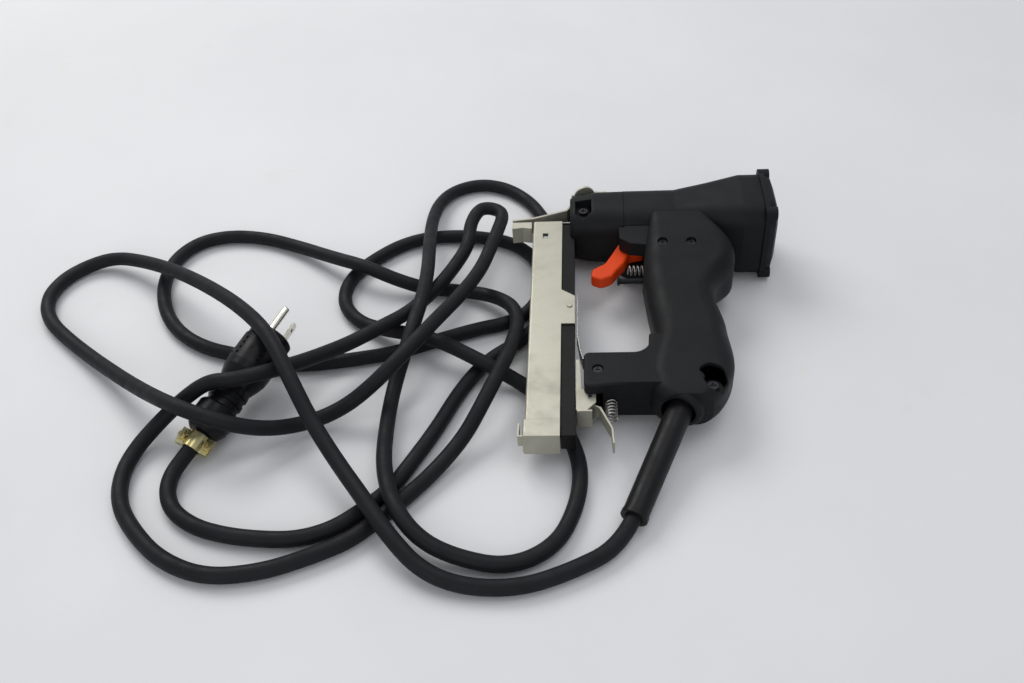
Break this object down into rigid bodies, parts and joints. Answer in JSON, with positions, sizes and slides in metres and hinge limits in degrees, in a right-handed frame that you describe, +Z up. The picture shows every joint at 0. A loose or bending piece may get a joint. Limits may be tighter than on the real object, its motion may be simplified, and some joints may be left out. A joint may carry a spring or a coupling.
{
  "type": "electric stapler",
  "caption": "Corded electric stapler lying on its side: black moulded housing and D-handle, orange trigger, metal nose and magazine, long rubber cord in loose loops with a plug",
  "frame": {"origin": "bottom centre of the box round the tool without its cord, as it lies on its side", "axes": "+Z up, across the two handle shells; +X towards the rear cap along the drive axis; +Y from the handle towards the front of the housing"},
  "size_m": [0.5404, 0.4029, 0.0667],
  "materials": {
    "black_moulding": "fine matte texture",
    "black_screw": "black oxide",
    "orange_moulding": "satin",
    "inner_moulding": "natural moulded",
    "circuit_board": "solder mask",
    "steel": "ground",
    "copper_wire": "enamelled wire",
    "spring_steel": "drawn wire",
    "bumper_rubber": "soft",
    "nickel_plate": "nickel plate, slightly worn",
    "bright_steel": "zinc plate",
    "staple_wire": "bright wire",
    "cord_rubber": "dusty matte rubber",
    "brass_plate": "nickel plate",
    "yellow_zinc": "yellow zinc plate"
  },
  "bodies": {
    "tool": {"main_housing": "black_moulding", "front_barrel": "black_moulding", "end_cap": "black_moulding", "end_cap_screws": "black_screw", "handle_shell_upper": "black_moulding", "handle_shell_lower": "black_moulding", "handle_screws": "black_screw", "trigger_pin": "steel", "trigger_spring": "spring_steel", "switch_body": "inner_moulding", "control_board": "circuit_board", "solenoid_yoke": "steel", "yoke_plate": "steel", "coil_bobbin": "inner_moulding", "coil_winding": "copper_wire", "return_spring": "spring_steel", "bumper": "bumper_rubber", "nose_plate": "nickel_plate", "nose_guide": "nickel_plate", "nose_screws": "black_screw", "barrel_screws": "black_screw", "magazine_rail": "bright_steel", "rail_screws": "bright_steel", "staple_track": "bright_steel", "staple_strip": "staple_wire", "pusher_spring": "spring_steel", "leaf_spring": "spring_steel", "latch_bracket": "nickel_plate", "lever_pin": "steel", "latch_spring": "spring_steel", "strain_relief": "cord_rubber", "cord_gland": "inner_moulding", "plug_body": "cord_rubber", "plug_blades": "brass_plate", "ground_pin": "brass_plate", "plug_clamp": "yellow_zinc", "plug_clamp_screws": "yellow_zinc", "power_cord": "cord_rubber"},
    "trigger": {"trigger": "orange_moulding"},
    "switch": {"switch_plunger": "inner_moulding"},
    "drive": {"plunger": "steel", "driver_blade": "steel"},
    "magazine": {"magazine_sleeve": "nickel_plate", "magazine_end_cap": "nickel_plate", "magazine_rivets": "nickel_plate"},
    "follower": {"pusher": "bright_steel"},
    "latch": {"release_lever": "nickel_plate"}
  },
  "joints": [
    {"name": "trigger_pull", "type": "hinge", "parent": "tool", "child": "trigger", "pos_m": [-0.00521, 0.08632, 0.02677], "axis": [-0.0628, -0.0209, 0.9978], "range_deg": [0, 14], "stiffness_Nm_per_rad": 0.3, "springref_deg": -28.65, "deforming": ["trigger_spring"]},
    {"name": "switch_press", "type": "slide", "parent": "tool", "child": "switch", "axis": [0.998, -0.0013, 0.0628], "range_m": [0, 0.0084]},
    {"name": "drive_stroke", "type": "slide", "parent": "tool", "child": "drive", "axis": [-0.998, 0.0013, -0.0628], "range_m": [0, 0.032], "stiffness_N_per_m": 150, "springref_m": -0.03, "deforming": ["return_spring"]},
    {"name": "magazine_slide", "type": "slide", "parent": "tool", "child": "magazine", "axis": [0, -0.9998, -0.0209], "range_m": [0, 0.07]},
    {"name": "pusher_slide", "type": "slide", "parent": "tool", "child": "follower", "axis": [0, -0.9998, -0.0209], "range_m": [0, 0.1], "stiffness_N_per_m": 20, "springref_m": -0.08, "deforming": ["pusher_spring"]},
    {"name": "latch_press", "type": "hinge", "parent": "tool", "child": "latch", "pos_m": [-0.04164, -0.0661, 0.02129], "axis": [-0.0628, -0.0209, 0.9978], "range_deg": [0, 12], "stiffness_Nm_per_rad": 0.1, "springref_deg": -28.65, "deforming": ["latch_spring"]}
  ],
  "couplings": [
    {"joint": "switch_press", "follows": "trigger_pull", "m_per_rad": 0.0332}
  ]
}
